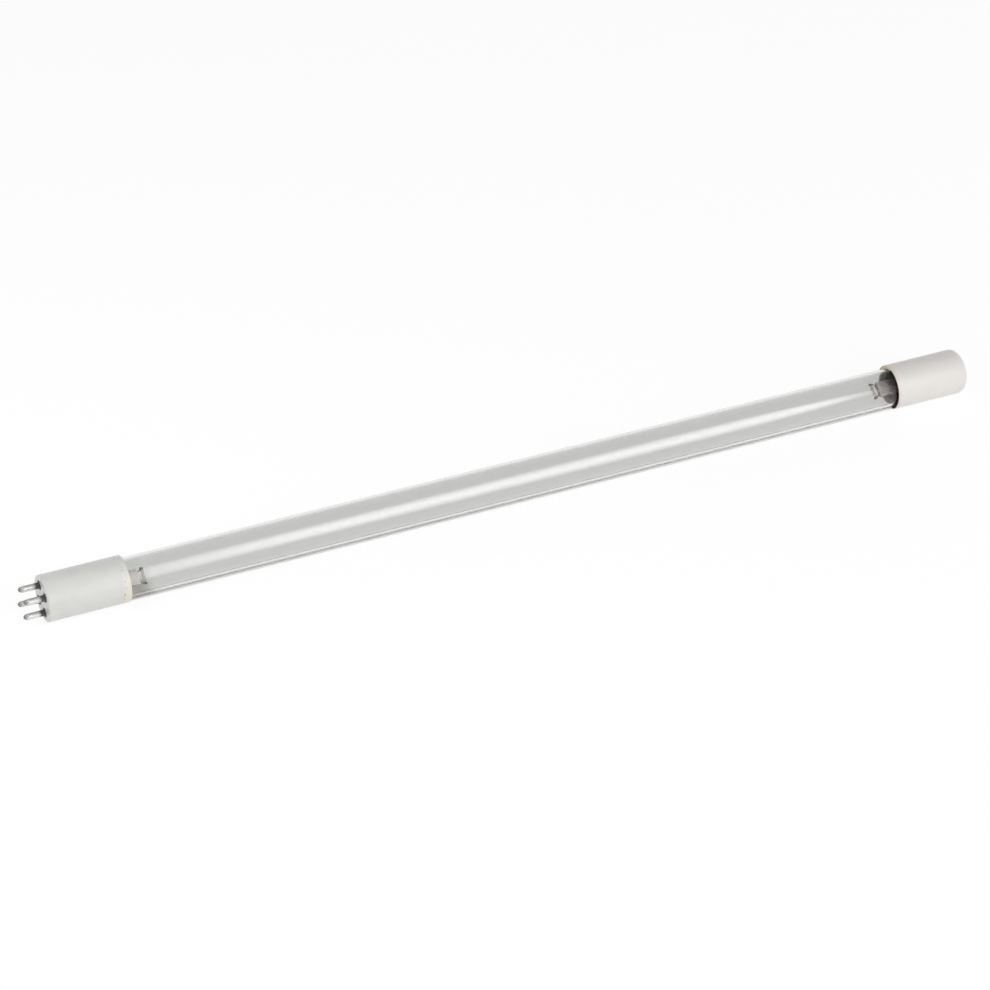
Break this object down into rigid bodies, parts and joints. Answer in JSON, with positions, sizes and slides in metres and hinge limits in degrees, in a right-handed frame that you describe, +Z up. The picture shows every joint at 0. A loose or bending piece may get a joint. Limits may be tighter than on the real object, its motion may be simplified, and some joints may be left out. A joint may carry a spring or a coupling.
{
  "type": "germicidal ultraviolet lamp tube",
  "caption": "Straight clear ultraviolet lamp with a four-pin ceramic base, a closed ceramic end cap, coiled filaments and sleeved return leads under the tube.",
  "frame": {"origin": "centre of the underside of the whole lamp's box, on the surface that the two caps lie on", "axes": "+X along the lamp from the pins to the closed cap, +Z up"},
  "size_m": [0.382, 0.0174, 0.0174],
  "materials": {
    "white_ceramic": "thin satin glaze on fine white ceramic",
    "end_ceramic": "thin satin glaze on warm white ceramic",
    "tube_glass": "clear polished tube glass with a faint grey film inside",
    "stem_glass": "fire-polished stem glass, milky in the press",
    "dull_nickel": "dull nickel plate, darker at the roots",
    "lead_nickel": "drawn nickel-iron wire",
    "crimp_brass": "dull crimped brass",
    "tungsten": "dark coiled tungsten with a pale emitter coat",
    "pale_sleeving": "fine braided glass-fibre sleeving",
    "cream_cement": "matt cream basing cement",
    "brown_cement": "dark brown baked basing cement",
    "mercury": "liquid metal"
  },
  "bodies": {
    "root": {"base_cap": "white_ceramic", "end_cap": "end_ceramic", "clear_tube": "tube_glass", "base_stem": "stem_glass", "end_stem": "stem_glass", "base_cement": "cream_cement", "end_cement": "brown_cement", "base_filament": "tungsten", "end_filament": "tungsten", "mercury_drop": "mercury", "contact_pin_1": "dull_nickel", "contact_pin_2": "dull_nickel", "contact_pin_3": "dull_nickel", "contact_pin_4": "dull_nickel", "base_lead_a": "lead_nickel", "end_lead_a": "lead_nickel", "return_lead_a": "lead_nickel", "base_lead_sleeve_a": "pale_sleeving", "return_lead_sleeve_a": "pale_sleeving", "crimp_splice_a": "crimp_brass", "base_lead_b": "lead_nickel", "end_lead_b": "lead_nickel", "return_lead_b": "lead_nickel", "base_lead_sleeve_b": "pale_sleeving", "return_lead_sleeve_b": "pale_sleeving", "crimp_splice_b": "crimp_brass"}
  },
  "joints": []
}
